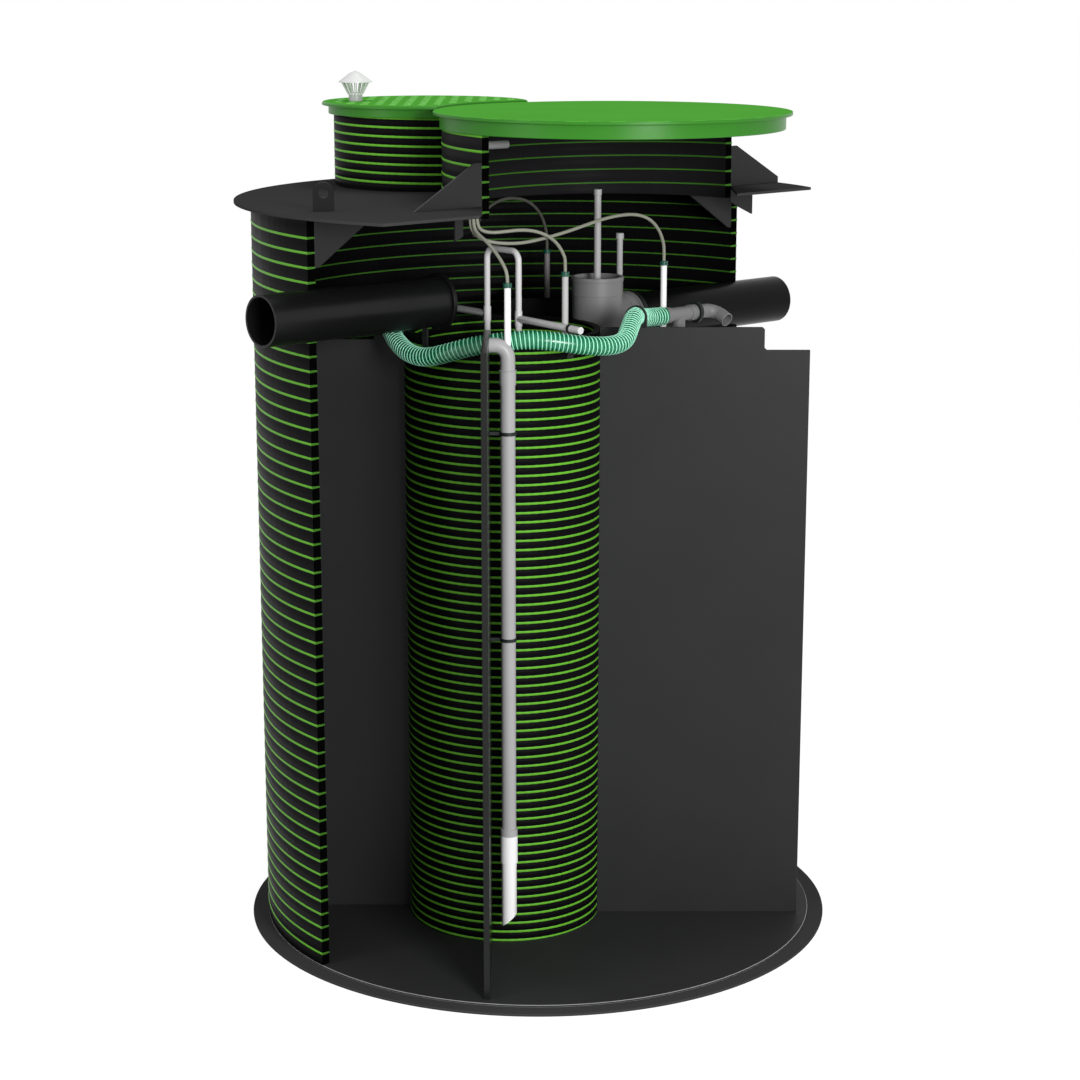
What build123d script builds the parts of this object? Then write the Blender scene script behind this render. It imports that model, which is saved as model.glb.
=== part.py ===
from build123d import *
from math import acos, atan2, cos, degrees, pi, radians, sin, sqrt, tan
import os

os.makedirs("parts", exist_ok=True)

# Packaged sewage treatment plant, in millimetres, +Z up, the origin at the middle of
# the base on the ground. The round tank is shown as a display section: one vertical
# plane takes away its front right, so that the chambers and pipes can be seen.

# Driving sizes of the tank
SHELL_R = 1000.0          # outside of the wound wall
SHELL_WALL = 30.0
HEAD_ROOM = 428.0         # from the tops of the inner walls to the top plate
BASE_RIM = 57.0           # stands out under the wall
BASE_T = 9.0
FLOOR_T = 8.0
PLATE_RIM = 58.0          # stands out past the wall
PLATE_T = 10.0
CUT_AZ = 41.4             # direction of the section plane, degrees from +X
PLATE_FRONT = 387.0       # the top plate reaches this far in front of the tank's section

# Driving sizes of the two necks and their lids
NECK_X = 259.0            # the main neck stands off centre on the X axis
NECK_R = 594.0
NECK_WALL = 30.0
NECK_DROP = 31.0          # how far both necks reach below the top plate
NECK_H = 284.0            # above the top plate
SMALL_BEARING = 129.56    # direction of the small neck from the tank's axis
SMALL_EDGE = 15.5         # between the small neck and the outside of the tank
SMALL_R = 336.0
SMALL_WALL = 20.0
SMALL_H = 291.0
LID_T = 12.0
LID_RIM = 30.0            # the main lid stands out past its neck
LID_SKIRT = 48.0
SMALL_RIM = 43.0
SMALL_SKIRT = 31.0
SKIRT_T = 5.0
SKIRT_GAP = 2.0
LID_GAP = 4.0             # between the two lids, where the small one is cut back

# Driving sizes of what stands in the tank
COLUMN_AT = (-124.0, -102.0)
COLUMN_R = 344.0
COLUMN_WALL = 25.0
COLUMN_DROP = 12.0        # below the tops of the inner walls
WALL_H = 2161.0           # inner walls, from the floor disc
LEFT_Y = -94.5            # front faces of the two cross walls
LEFT_DROP = 52.0          # the left wall is lower than the others
LEFT_STEP = 18.0          # the left wall is higher beside the column
LEFT_STEP_X = -577.0
RIGHT_Y = -164.0
RIGHT_STEP = 80.0         # the right wall is lower at its outer end
RIGHT_STEP_X = 789.0
RIGHT_END = 52.0          # short of the tank's outside
WALL_T = 12.0
FRONT_X = -172.0          # middle of the front wall, which runs to the viewer
FRONT_T = 20.0
FRONT_RISE = 32.0         # the front wall is higher than the others
FRONT_END = 45.0          # short of the tank's outside
REAR_X = -115.0
REAR_Y = 600.0            # front face of the wall that closes the rear chamber
CORNER = 8.0              # rounding of the walls' top corners

# Driving sizes of the inlet and outlet, which lie in the section plane. Heights here and
# below are given from the tops of the inner walls, which stand just above the water.
MAIN_PIPE_D = 172.0
MAIN_PIPE_WALL = 8.0
INLET_RISE = 109.0
INLET_FAR = 1190.0        # distances from the tank's axis
INLET_NEAR = 462.0
OUTLET_RISE = -28.0
OUTLET_FAR = 1215.0
FLANGE_R = 98.0
FLANGE_T = 14.0
TEE_AXIS = 284.5
TEE_R = 91.0
TEE_WALL = 7.0
TEE_UP = 163.0            # from the outlet's axis to the rim
TEE_DOWN = 165.0
TEE_REACH = 155.0
TEE_SOCKET = 50.0

# Driving sizes of the small pipes
RISER_D = 50.0
RISER_WALL = 4.0
RISER_AT = (-101.0, -550.0)
RISER_RISE = -4.0
RISER_BEND = 45.0
RISER_TIP = 121.0         # lowest point of the slanted foot
RISER_TIP_CUT = 45.0
SLEEVE_BOTTOM = 355.0
SLEEVE_TOP = 455.0
SLEEVE_R = 29.5
CLIP_ZS = (1155.0, 1870.0)
LOOP_D = 22.0
LOOP_WALL = 3.0
LOOP_LEFT = (-180.0, 20.0)
LOOP_RIGHT = (-68.0, -115.0)
LOOP_RISE = 257.0
LOOP_BEND = 35.0
CROSS_D = 25.0
CROSS_RISE = 23.0
CROSS_LEFT = (-322.0, 191.0)
CROSS_RIGHT = (144.0, -407.0)
TALL_D = 25.0
TALL_RISE = 446.0
SHORT_D = 22.0
SHORT_ALONG = 110.0       # from the tee's axis, on top of its branch
SHORT_RISE = 282.0
CAP_R = 14.5
CAP_H = 21.0
AIR_D = 22.0
AIR_FRONT_RISE = 187.0
AIR_MIDDLE_AT = (92.5, -290.0)
AIR_MIDDLE_RISE = 193.0
AIR_RIGHT_AT = (446.0, 60.0)
AIR_RIGHT_RISE = 189.0
AIR_BACK_AT = (34.0, 720.0)
AIR_BACK_RISE = 156.0
COUPLING_R = 14.5
COUPLING_H = 16.0
BLOCK_ALONG = -450.0      # along the section from the tank's axis
BLOCK_SIDE = 30.0
BLOCK_H = 20.0
DRAIN_AT = (446.0, 0.0)
DRAIN_RISE = 17.0
DRAIN_LEN = 150.0
DRAIN_D = 50.0
DRAIN_RISER = 73.0        # along the tee, where its riser comes up
DRAIN_RISER_D = 40.0
RETURN_AT = (-400.0, 480.0)
RETURN_RISE = 7.0
RETURN_LEG = 66.0
STUB_D = 28.0
STUB_DROP = 85.0          # below the neck's top
STUB_LEN = 128.0
STUB_BACK = 40.0          # behind the neck's section

# Driving sizes of gussets, lug and vent
GUSSET_T = 10.0
SHELL_GUSSET_W = 245.0
SHELL_GUSSET_H = 165.0
GUSSET_TIP = 15.0
NECK_GUSSET_H = 146.0
NECK_GUSSET_W = 291.0
NECK_GUSSET_TOP = 30.0
RIB_W = 116.0             # ribs under the plate, beside the neck
RIB_H = 98.0
RIB_NOSE = 47.0
RIB_STEP = 82.0
RIB_LIP = 22.0
RIB_HEEL = 83.0
LUG_AT = (-705.0, -532.0)
LUG_W = 69.0
LUG_H = 95.0
LUG_T = 18.0
LUG_HOLE = 17.0
VENT_AT = (-667.0, 476.0)
VENT_D = 50.0
VENT_PIPE_H = 24.0
VENT_FIN_H = 44.0
VENT_CAP_R = 61.0
VENT_CAP_H = 42.0
VENT_TOP_R = 52.0
VENT_FINS = 16

# Driving sizes of the hoses and what holds them
SUCTION_D = 66.0
SUCTION_LAST = 104.3      # its last run, straight onto the drain tee
AIR_HOSE_D = 13.0
HOSE_HOLE_GAP = 3.0
CLIP_GAP = 1.2            # the hose is slightly bent where its clip holds it
SEAT = 0.3                # gap at every seat on a curved face
PIPE_SEAT = 0.5
BRACKET_W = 28.0
BRACKET_T = 6.0
BRACKET_DROP = 66.0       # below the column's rim
STRAP_T = 3.0
STRAP_W = 12.0

# Heights and points that follow from them
FLOOR_Z = BASE_T + FLOOR_T
WALL_TOP = FLOOR_Z + WALL_H
PLATE_Z = WALL_TOP + HEAD_ROOM
PLATE_TOP = PLATE_Z + PLATE_T
BASE_R = SHELL_R + BASE_RIM
PLATE_R = SHELL_R + PLATE_RIM
NECK_FOOT = PLATE_Z - NECK_DROP
NECK_TOP = PLATE_TOP + NECK_H
SMALL_TOP = PLATE_TOP + SMALL_H
COLUMN_TOP = WALL_TOP - COLUMN_DROP
INLET_Z = WALL_TOP + INLET_RISE
OUTLET_Z = WALL_TOP + OUTLET_RISE
RISER_TOP = WALL_TOP + RISER_RISE
LOOP_TOP = WALL_TOP + LOOP_RISE
CROSS_Z = WALL_TOP + CROSS_RISE
TALL_TOP = WALL_TOP + TALL_RISE
SHORT_TOP = WALL_TOP + SHORT_RISE
AIR_FRONT_TOP = WALL_TOP + AIR_FRONT_RISE
AIR_MIDDLE_TOP = WALL_TOP + AIR_MIDDLE_RISE
AIR_RIGHT_TOP = WALL_TOP + AIR_RIGHT_RISE
AIR_BACK_TOP = WALL_TOP + AIR_BACK_RISE
DRAIN_Z = WALL_TOP + DRAIN_RISE
RETURN_Z = WALL_TOP + RETURN_RISE
STUB_Z = NECK_TOP - STUB_DROP
SHELL_IN = SHELL_R - SHELL_WALL
SMALL_OUT = SHELL_R - SMALL_EDGE - SMALL_R
SMALL_AT = (
    SMALL_OUT * cos(radians(SMALL_BEARING)),
    SMALL_OUT * sin(radians(SMALL_BEARING)),
)
NECK_IN = NECK_R - NECK_WALL
ALONG = (cos(radians(CUT_AZ)), sin(radians(CUT_AZ)))
FRONT = (ALONG[1], -ALONG[0])
NECK_ALONG = NECK_X * ALONG[0]
NECK_FRONT = NECK_X * FRONT[0]
LID_R = NECK_R + LID_RIM
SMALL_LID_R = SMALL_R + SMALL_RIM
BIG = 4000.0

# The suction hose between its two ends, chosen by hand from the photograph. The third
# number is the height above the tops of the inner walls.
SUCTION_MIDDLE = [
    (-481, 372, 7),
    (-510, 270, 9),
    (-522, 160, 8),
    (-524, 50, 6),
    (-524, -63, 5),
    (-517, -191, -10),
    (-485, -304, -25),
    (-423, -393, -33),
    (-331, -452, -29),
    (-217, -481, -14),
    (-91, -491, -4),
    (33, -482, 0),
    (147, -453, 2),
    (238, -385, 12),
    (296, -284, 28),
    (336, -175, 42),
]

# The air hoses, chosen by hand from the photograph. The third number is a share of the way
# up from the hose's coupling to the block that it leaves.
AIR_FRONT_HANG = [
    (-215.1, -448.6, 1),
    (-215.1, -448.6, 0.848),
    (-197, -463, 0.712),
    (-170, -486, 0.58),
    (-141, -512, 0.444),
    (-116, -535, 0.302),
    (-101, -550, 0.152),
    (-101, -550, 0),
]
AIR_MIDDLE_HANG = [
    (-203.1, -438, 1),
    (-203.1, -438, 0.879),
    (-187, -432.5, 0.774),
    (-152, -420, 0.729),
    (-102, -404, 0.724),
    (-50, -385, 0.709),
    (-2, -362, 0.663),
    (40, -336, 0.548),
    (72, -308, 0.377),
    (92.5, -290, 0.181),
    (92.5, -290, 0),
]
AIR_RIGHT_HANG = [
    (-225.7, -436.6, 1),
    (-225.7, -436.6, 0.855),
    (-211, -434, 0.744),
    (-185, -428, 0.665),
    (-149, -416, 0.621),
    (-106, -397, 0.596),
    (-58, -372, 0.601),
    (-6, -340, 0.626),
    (48, -304, 0.665),
    (103, -265, 0.709),
    (157, -224, 0.754),
    (210, -181, 0.793),
    (261, -139, 0.813),
    (307, -97, 0.803),
    (347, -58, 0.768),
    (381, -23, 0.69),
    (408, 8, 0.581),
    (427, 33, 0.448),
    (440, 51, 0.296),
    (446, 60, 0.145),
    (446, 60, 0),
]
AIR_BACK_HANG = [
    (-213.7, -426, 1),
    (-213.7, -426, 0.857),
    (-214, -412, 0.767),
    (-214, -386, 0.72),
    (-214, -348, 0.703),
    (-213, -301, 0.712),
    (-212, -245, 0.729),
    (-211, -181, 0.754),
    (-208, -112, 0.78),
    (-204, -38, 0.809),
    (-198, 39, 0.831),
    (-189, 117, 0.852),
    (-177, 196, 0.869),
    (-162, 273, 0.881),
    (-144, 347, 0.881),
    (-122, 417, 0.877),
    (-97, 482, 0.852),
    (-70, 541, 0.814),
    (-44, 592, 0.754),
    (-20, 635, 0.669),
    (1, 669, 0.559),
    (17, 695, 0.432),
    (28, 712, 0.288),
    (34, 720, 0.143),
    (34, 720, 0),
]


def in_section(shape):
    """Turn a shape drawn with +X along the section plane and +Y behind it."""
    return Rot(0, 0, CUT_AZ) * shape


def in_front(offset):
    """The space that the section takes away, from a plane this far in front of the axis."""
    return in_section(Pos(0, -offset - BIG / 2, 0) * Box(2 * BIG, BIG, 2 * BIG))


def upright(radius, z_low, z_high, at=(0, 0)):
    disc = Cylinder(radius, z_high - z_low, align=(Align.CENTER, Align.CENTER, Align.MIN))
    return Pos(at[0], at[1], z_low) * disc


def tube(radius, wall, z_low, z_high, at=(0, 0)):
    return upright(radius, z_low, z_high, at) - upright(radius - wall, z_low, z_high, at)


def lying(radius, start, end, z):
    """A bar along the section plane, between two distances from the tank's axis."""
    bar = Cylinder(radius, end - start, align=(Align.CENTER, Align.CENTER, Align.MIN))
    return in_section(Pos(start, 0, z) * Rot(0, 90, 0) * bar)


def wall_plate(outline, y_front, thickness):
    """A plate parallel to X from its outline in X and Z."""
    face = make_face(Polyline(*[(x, y_front, z) for x, z in outline], close=True))
    return extrude(face, amount=thickness, dir=(0, 1, 0))


def bend_radii(points):
    """The largest smooth bend at each inner point that leaves the runs beside it room."""
    radii = []
    for before, here, after in zip(points, points[1:], points[2:]):
        arriving = Vector(*here) - Vector(*before)
        leaving = Vector(*after) - Vector(*here)
        turn = acos(min(1.0, arriving.normalized().dot(leaving.normalized())))
        radii.append(0.45 * min(arriving.length, leaving.length) / tan(turn / 2))
    return radii


def pipe_run(points, outer_d, wall=0.0, bend=None):
    """A pipe or hose along its points, with the bends rounded. No wall means solid."""
    if len(points) == 2:
        path = Line(points[0], points[1])
    else:
        path = FilletPolyline(*points, radius=bend or bend_radii(points))
    section = Circle(outer_d / 2)
    if wall:
        section = section - Circle(outer_d / 2 - wall)
    return sweep(Plane(origin=path @ 0, z_dir=path % 0) * section, path=path)


def where(points, axis, value, index):
    """Where a hose crosses a plane near one of its points, and which way it runs there."""
    path = FilletPolyline(*points, radius=bend_radii(points))
    low = (index - 1) / len(points)
    high = (index + 3) / len(points)
    rising = tuple(path @ high)[axis] > tuple(path @ low)[axis]
    for _ in range(40):
        middle = (low + high) / 2
        if (tuple(path @ middle)[axis] < value) == rising:
            low = middle
        else:
            high = middle
    return path @ low, path % low


def hung(points, coupling_top):
    """An air hose's points with their shares turned into heights."""
    fall = PLATE_Z - BLOCK_H - coupling_top
    return [(x, y, coupling_top + share * fall) for x, y, share in points]


def return_end():
    """Where the suction hose begins, on the elbow behind the column."""
    run_x = SUCTION_MIDDLE[0][0] - RETURN_AT[0]
    run_y = SUCTION_MIDDLE[0][1] - RETURN_AT[1]
    share = RETURN_LEG / sqrt(run_x ** 2 + run_y ** 2)
    return (RETURN_AT[0] + share * run_x, RETURN_AT[1] + share * run_y, RETURN_Z)


def suction_route():
    middle = [(x, y, WALL_TOP + rise) for x, y, rise in SUCTION_MIDDLE]
    return [return_end(), *middle, along_drain(-SUCTION_LAST), along_drain(0)]


def hose(points, diameter):
    """A hose's solid, with its bends and its volume against the plain formula printed."""
    solid = pipe_run(points, diameter)
    length = solid.volume / (pi * diameter ** 2 / 4)
    radii = bend_radii(points)
    print("hose", diameter, "length", round(length), "tightest bend", round(min(radii)))
    return solid


def base_plates():
    base = upright(BASE_R, 0, BASE_T)
    floor = upright(SHELL_R, BASE_T, FLOOR_Z)
    return {"base_flange": base, "floor_disc": floor}


def tank_wall():
    wall = tube(SHELL_R, SHELL_WALL, FLOOR_Z, PLATE_Z) - in_front(0)
    hole_r = MAIN_PIPE_D / 2 + PIPE_SEAT
    wall -= lying(hole_r, -INLET_FAR, 0, INLET_Z)
    wall -= lying(hole_r, 0, OUTLET_FAR, OUTLET_Z)
    return {"shell_wall": wall}


def top_plate():
    plate = upright(PLATE_R, PLATE_Z, PLATE_TOP) - in_front(PLATE_FRONT)
    plate -= upright(NECK_R + SEAT, PLATE_Z, PLATE_TOP, (NECK_X, 0)) - in_front(NECK_FRONT)
    plate -= upright(SMALL_R + SEAT, PLATE_Z, PLATE_TOP, SMALL_AT)
    half = (NECK_R + SEAT) * ALONG[0]
    bay = Pos(NECK_X, 0, PLATE_Z) * Box(2 * half, 2 * BIG, 4 * PLATE_T)
    plate -= bay & in_front(NECK_FRONT)
    return {"top_plate": plate}


def main_neck():
    neck = tube(NECK_R, NECK_WALL, NECK_FOOT, NECK_TOP, (NECK_X, 0)) - in_front(NECK_FRONT)
    return neck - neck_stub(PIPE_SEAT)


def neck_stub(extra=0.0):
    """The short grey pipe that ends in the neck's wall."""
    back = STUB_BACK - NECK_FRONT
    start = NECK_ALONG - sqrt(NECK_IN ** 2 - STUB_BACK ** 2) - NECK_WALL / 2 - extra
    bar = Cylinder(STUB_D / 2 + extra, STUB_LEN, align=(Align.CENTER, Align.CENTER, Align.MIN))
    return in_section(Pos(start, back, STUB_Z) * Rot(0, 90, 0) * bar)


def small_neck():
    neck = tube(SMALL_R, SMALL_WALL, NECK_FOOT, SMALL_TOP, SMALL_AT)
    neck -= upright(NECK_R + SEAT, 0, BIG, (NECK_X, 0))
    neck -= upright(LID_R + LID_GAP, NECK_TOP - LID_SKIRT - LID_GAP, BIG, (NECK_X, 0))
    return neck - tube(BASE_R, BASE_R - SHELL_IN + SEAT, NECK_FOOT, PLATE_Z)


def lid(radius, neck_r, skirt_h, z_seat):
    """A lid with a rounded rim and a skirt that hangs over its neck."""
    inner = neck_r + SKIRT_GAP
    outer = inner + SKIRT_T
    outline = Polyline(
        (0, 0, z_seat),
        (inner, 0, z_seat),
        (inner, 0, z_seat - skirt_h),
        (outer, 0, z_seat - skirt_h),
        (outer, 0, z_seat),
        (radius, 0, z_seat),
        (radius, 0, z_seat + LID_T * 0.6),
        (radius - LID_T * 0.4, 0, z_seat + LID_T),
        (0, 0, z_seat + LID_T),
        close=True,
    )
    return revolve(make_face(outline), Axis.Z)


def lids():
    main = Pos(NECK_X, 0, 0) * lid(LID_R, NECK_R, LID_SKIRT, NECK_TOP)
    skirt_slack = SMALL_RIM - SMALL_SKIRT
    small = Pos(*SMALL_AT, 0) * lid(SMALL_LID_R, SMALL_R + skirt_slack, SMALL_SKIRT, SMALL_TOP)
    small -= upright(LID_R + LID_GAP, 0, BIG, (NECK_X, 0))
    return {"main_lid": main, "small_lid": small}


def vent():
    """The vent on the small lid: a pipe, a cage of fins that widens upward and a cap."""
    lid_top = SMALL_TOP + LID_T
    fin_low = lid_top + VENT_PIPE_H
    fin_high = fin_low + VENT_FIN_H
    pipe_r = VENT_D / 2
    pipe = tube(pipe_r, 3, lid_top, fin_low, VENT_AT)
    ring = tube(pipe_r + 3, 6, fin_low, fin_low + 5)
    fin_outline = [
        (pipe_r - 3, fin_low),
        (pipe_r + 3, fin_low),
        (VENT_TOP_R, fin_high),
        (VENT_TOP_R - 9, fin_high),
    ]
    fin = wall_plate(fin_outline, -1.5, 3)
    cage = ring
    for index in range(VENT_FINS):
        cage += Rot(0, 0, index * 360 / VENT_FINS) * fin
    cap_outline = Polyline(
        (0, 0, fin_high),
        (VENT_CAP_R, 0, fin_high),
        (VENT_CAP_R, 0, fin_high + 3),
        (VENT_CAP_R * 0.3, 0, fin_high + VENT_CAP_H * 0.82),
        (0, 0, fin_high + VENT_CAP_H),
        close=True,
    )
    cage += revolve(make_face(cap_outline), Axis.Z)
    return {"vent_pipe": pipe, "vent_cowl": Pos(*VENT_AT, 0) * cage}


def column():
    return {"inner_column": tube(COLUMN_R, COLUMN_WALL, FLOOR_Z, COLUMN_TOP, COLUMN_AT)}


def beside_column(shape):
    """Cut a wall back to its seat on the column."""
    return shape - upright(COLUMN_R + SEAT, 0, BIG, COLUMN_AT)


def shell_reach(y):
    """How far from the Y axis a wall at this Y may run before it meets the shell."""
    return sqrt((SHELL_IN - SEAT) ** 2 - y ** 2)


def partitions():
    column_x, column_y = COLUMN_AT
    low = FLOOR_Z
    left_top = WALL_TOP - LEFT_DROP
    left_x = -shell_reach(LEFT_Y)
    left = wall_plate(
        [
            (left_x, low),
            (column_x, low),
            (column_x, left_top + LEFT_STEP),
            (LEFT_STEP_X + CORNER, left_top + LEFT_STEP),
            (LEFT_STEP_X, left_top + LEFT_STEP - CORNER),
            (LEFT_STEP_X, left_top),
            (left_x, left_top),
        ],
        LEFT_Y,
        WALL_T,
    )
    right_top = WALL_TOP
    right_end = SHELL_R - RIGHT_END
    right = wall_plate(
        [
            (column_x, low),
            (right_end, low),
            (right_end, right_top - RIGHT_STEP),
            (RIGHT_STEP_X + CORNER, right_top - RIGHT_STEP),
            (RIGHT_STEP_X, right_top - RIGHT_STEP + CORNER),
            (RIGHT_STEP_X, right_top - CORNER),
            (RIGHT_STEP_X - CORNER, right_top),
            (column_x, right_top),
        ],
        RIGHT_Y,
        WALL_T,
    )
    front_h = WALL_H + FRONT_RISE
    front_len = column_y + SHELL_R - FRONT_END
    front = Pos(FRONT_X, column_y - front_len / 2, low + front_h / 2)
    front *= Box(FRONT_T, front_len, front_h)
    front = beside_column(front)
    hose_way = where(suction_route(), 0, FRONT_X, 10)[0]
    for y, z, radius in (
        (RISER_AT[1], RISER_TOP, RISER_D / 2 + SEAT),
        (hose_way.Y, hose_way.Z, SUCTION_D / 2 + HOSE_HOLE_GAP),
    ):
        front -= Pos(FRONT_X, y, z) * Rot(0, 90, 0) * Cylinder(radius, 2 * FRONT_T)
    rear_end = shell_reach(abs(REAR_X) + WALL_T / 2)
    rear_len = rear_end - column_y
    rear = Pos(REAR_X, column_y + rear_len / 2, low + WALL_H / 2) * Box(WALL_T, rear_len, WALL_H)
    rear_face = REAR_X + WALL_T / 2
    cross = wall_plate(
        [
            (rear_face, low),
            (shell_reach(REAR_Y + WALL_T), low),
            (shell_reach(REAR_Y + WALL_T), WALL_TOP),
            (rear_face, WALL_TOP),
        ],
        REAR_Y,
        WALL_T,
    )
    pipe_way = lying(MAIN_PIPE_D / 2 + PIPE_SEAT, TEE_AXIS, OUTLET_FAR, OUTLET_Z)
    open_top = Box(OUTLET_FAR, MAIN_PIPE_D, BIG, align=(Align.MIN, Align.CENTER, Align.MIN))
    pipe_way += in_section(Pos(TEE_AXIS, 0, OUTLET_Z) * open_top)
    return {
        "left_partition": beside_column(left),
        "right_partition": beside_column(right),
        "front_partition": front,
        "rear_partition": beside_column(rear),
        "cross_partition": cross - pipe_way,
    }


def gussets():
    """Plates in the section that stiffen the wall and the neck against the top plate."""
    wall_x = SHELL_IN - SEAT
    corner = wall_plate(
        [
            (wall_x, PLATE_Z),
            (wall_x, PLATE_Z - SHELL_GUSSET_H),
            (wall_x - GUSSET_TIP, PLATE_Z - SHELL_GUSSET_H),
            (wall_x - SHELL_GUSSET_W, PLATE_Z - GUSSET_TIP),
            (wall_x - SHELL_GUSSET_W, PLATE_Z),
        ],
        0,
        GUSSET_T,
    )
    shell = in_section(corner + mirror(corner, about=Plane.YZ))
    shell -= upright(NECK_R + SEAT, NECK_FOOT - SEAT, BIG, (NECK_X, 0))
    foot = NECK_R + SEAT
    reach = foot + NECK_GUSSET_W
    slope = NECK_GUSSET_H / (NECK_GUSSET_W - NECK_GUSSET_TOP)
    rim = sqrt(PLATE_R ** 2 - NECK_FRONT ** 2) - NECK_ALONG - 5
    left = wall_plate(
        [
            (-foot, PLATE_TOP),
            (-foot, PLATE_TOP + NECK_GUSSET_H),
            (-foot - NECK_GUSSET_TOP, PLATE_TOP + NECK_GUSSET_H),
            (-reach, PLATE_TOP),
        ],
        0,
        GUSSET_T,
    )
    right = wall_plate(
        [
            (foot, PLATE_TOP),
            (foot, PLATE_TOP + NECK_GUSSET_H),
            (foot + NECK_GUSSET_TOP, PLATE_TOP + NECK_GUSSET_H),
            (rim, PLATE_TOP + (reach - rim) * slope),
            (rim, PLATE_TOP),
        ],
        0,
        GUSSET_T,
    )
    under_left = wall_plate(
        [
            (-foot, PLATE_Z),
            (-foot, PLATE_Z - RIB_LIP),
            (-foot - RIB_STEP, PLATE_Z - RIB_LIP),
            (-foot - RIB_STEP, PLATE_Z - RIB_HEEL),
            (-foot - RIB_W, PLATE_Z - RIB_H),
            (-foot - RIB_W, PLATE_Z),
        ],
        0,
        GUSSET_T,
    )
    under_right = wall_plate(
        [
            (foot, PLATE_Z),
            (foot, PLATE_Z - RIB_NOSE),
            (foot + RIB_W, PLATE_Z - RIB_H),
            (foot + RIB_W, PLATE_Z),
        ],
        0,
        GUSSET_T,
    )
    to_neck = Pos(NECK_ALONG, -NECK_FRONT, 0)
    return {
        "shell_gussets": shell,
        "neck_gussets": in_section(to_neck * (left + right)),
        "neck_ribs": in_section(to_neck * (under_left + under_right)),
    }


def lug():
    body = Box(LUG_W, LUG_T, LUG_H - LUG_W / 2, align=(Align.CENTER, Align.CENTER, Align.MIN))
    eye = Pos(0, 0, LUG_H - LUG_W / 2) * Rot(90, 0, 0)
    plate = body + eye * Cylinder(LUG_W / 2, LUG_T) - eye * Cylinder(LUG_HOLE, 2 * LUG_T)
    return {"lifting_lug": Pos(*LUG_AT, PLATE_TOP) * plate}


def inlet():
    pipe_r = MAIN_PIPE_D / 2
    pipe = lying(pipe_r, -INLET_FAR, -INLET_NEAR, INLET_Z)
    pipe -= lying(pipe_r - MAIN_PIPE_WALL, -INLET_FAR, -INLET_NEAR, INLET_Z)
    end = lying(FLANGE_R, -INLET_NEAR, -INLET_NEAR + FLANGE_T, INLET_Z)
    end += lying(24, -INLET_NEAR + FLANGE_T, -INLET_NEAR + FLANGE_T + 18, INLET_Z)
    return {"inlet_pipe": pipe, "inlet_flange": end}


def outlet():
    """The grey tee with its socket rims, and the black pipe that stands in its branch."""
    pipe_r = MAIN_PIPE_D / 2
    branch_end = TEE_AXIS + TEE_REACH
    pipe_start = branch_end - TEE_SOCKET
    pipe = lying(pipe_r, pipe_start, OUTLET_FAR, OUTLET_Z)
    pipe -= lying(pipe_r - MAIN_PIPE_WALL, pipe_start, OUTLET_FAR, OUTLET_Z)
    collar = lying(FLANGE_R, branch_end + 1, branch_end + 16, OUTLET_Z)
    collar -= lying(pipe_r + SEAT, branch_end, branch_end + 20, OUTLET_Z)
    at = (TEE_AXIS * ALONG[0], TEE_AXIS * ALONG[1])
    rim_z = OUTLET_Z + TEE_UP
    bore_r = TEE_R - TEE_WALL
    tee = upright(TEE_R, OUTLET_Z - TEE_DOWN, rim_z, at)
    tee += upright(TEE_R + 2, rim_z - 65, rim_z, at)
    tee += upright(TEE_R + 4.5, rim_z - 15, rim_z, at)
    tee += lying(TEE_R, TEE_AXIS, branch_end, OUTLET_Z)
    tee += lying(TEE_R + 2, branch_end - TEE_SOCKET, branch_end, OUTLET_Z)
    tee += lying(TEE_R + 4.5, branch_end - 12, branch_end, OUTLET_Z)
    tee -= upright(bore_r, 0, BIG, at)
    tee -= lying(bore_r, TEE_AXIS, branch_end, OUTLET_Z)
    tee -= lying(pipe_r + PIPE_SEAT, pipe_start - SEAT, branch_end, OUTLET_Z)
    tall = upright(TALL_D / 2, OUTLET_Z - TEE_DOWN + 8, TALL_TOP - CAP_H, at)
    tall += upright(CAP_R, TALL_TOP - CAP_H, TALL_TOP, at)
    tall += upright(bore_r - SEAT, OUTLET_Z - TEE_DOWN, OUTLET_Z - TEE_DOWN + 8, at)
    short_along = TEE_AXIS + SHORT_ALONG
    short_at = (short_along * ALONG[0], short_along * ALONG[1])
    short = upright(SHORT_D / 2, OUTLET_Z, SHORT_TOP - CAP_H, short_at)
    short += upright(CAP_R, SHORT_TOP - CAP_H, SHORT_TOP, short_at)
    short -= lying(TEE_R + 2 + SEAT, TEE_AXIS, branch_end, OUTLET_Z)
    return {
        "outlet_pipe": pipe,
        "outlet_collar": collar,
        "outlet_tee": tee,
        "tall_pipe": tall,
        "short_pipe": short,
    }


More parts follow.
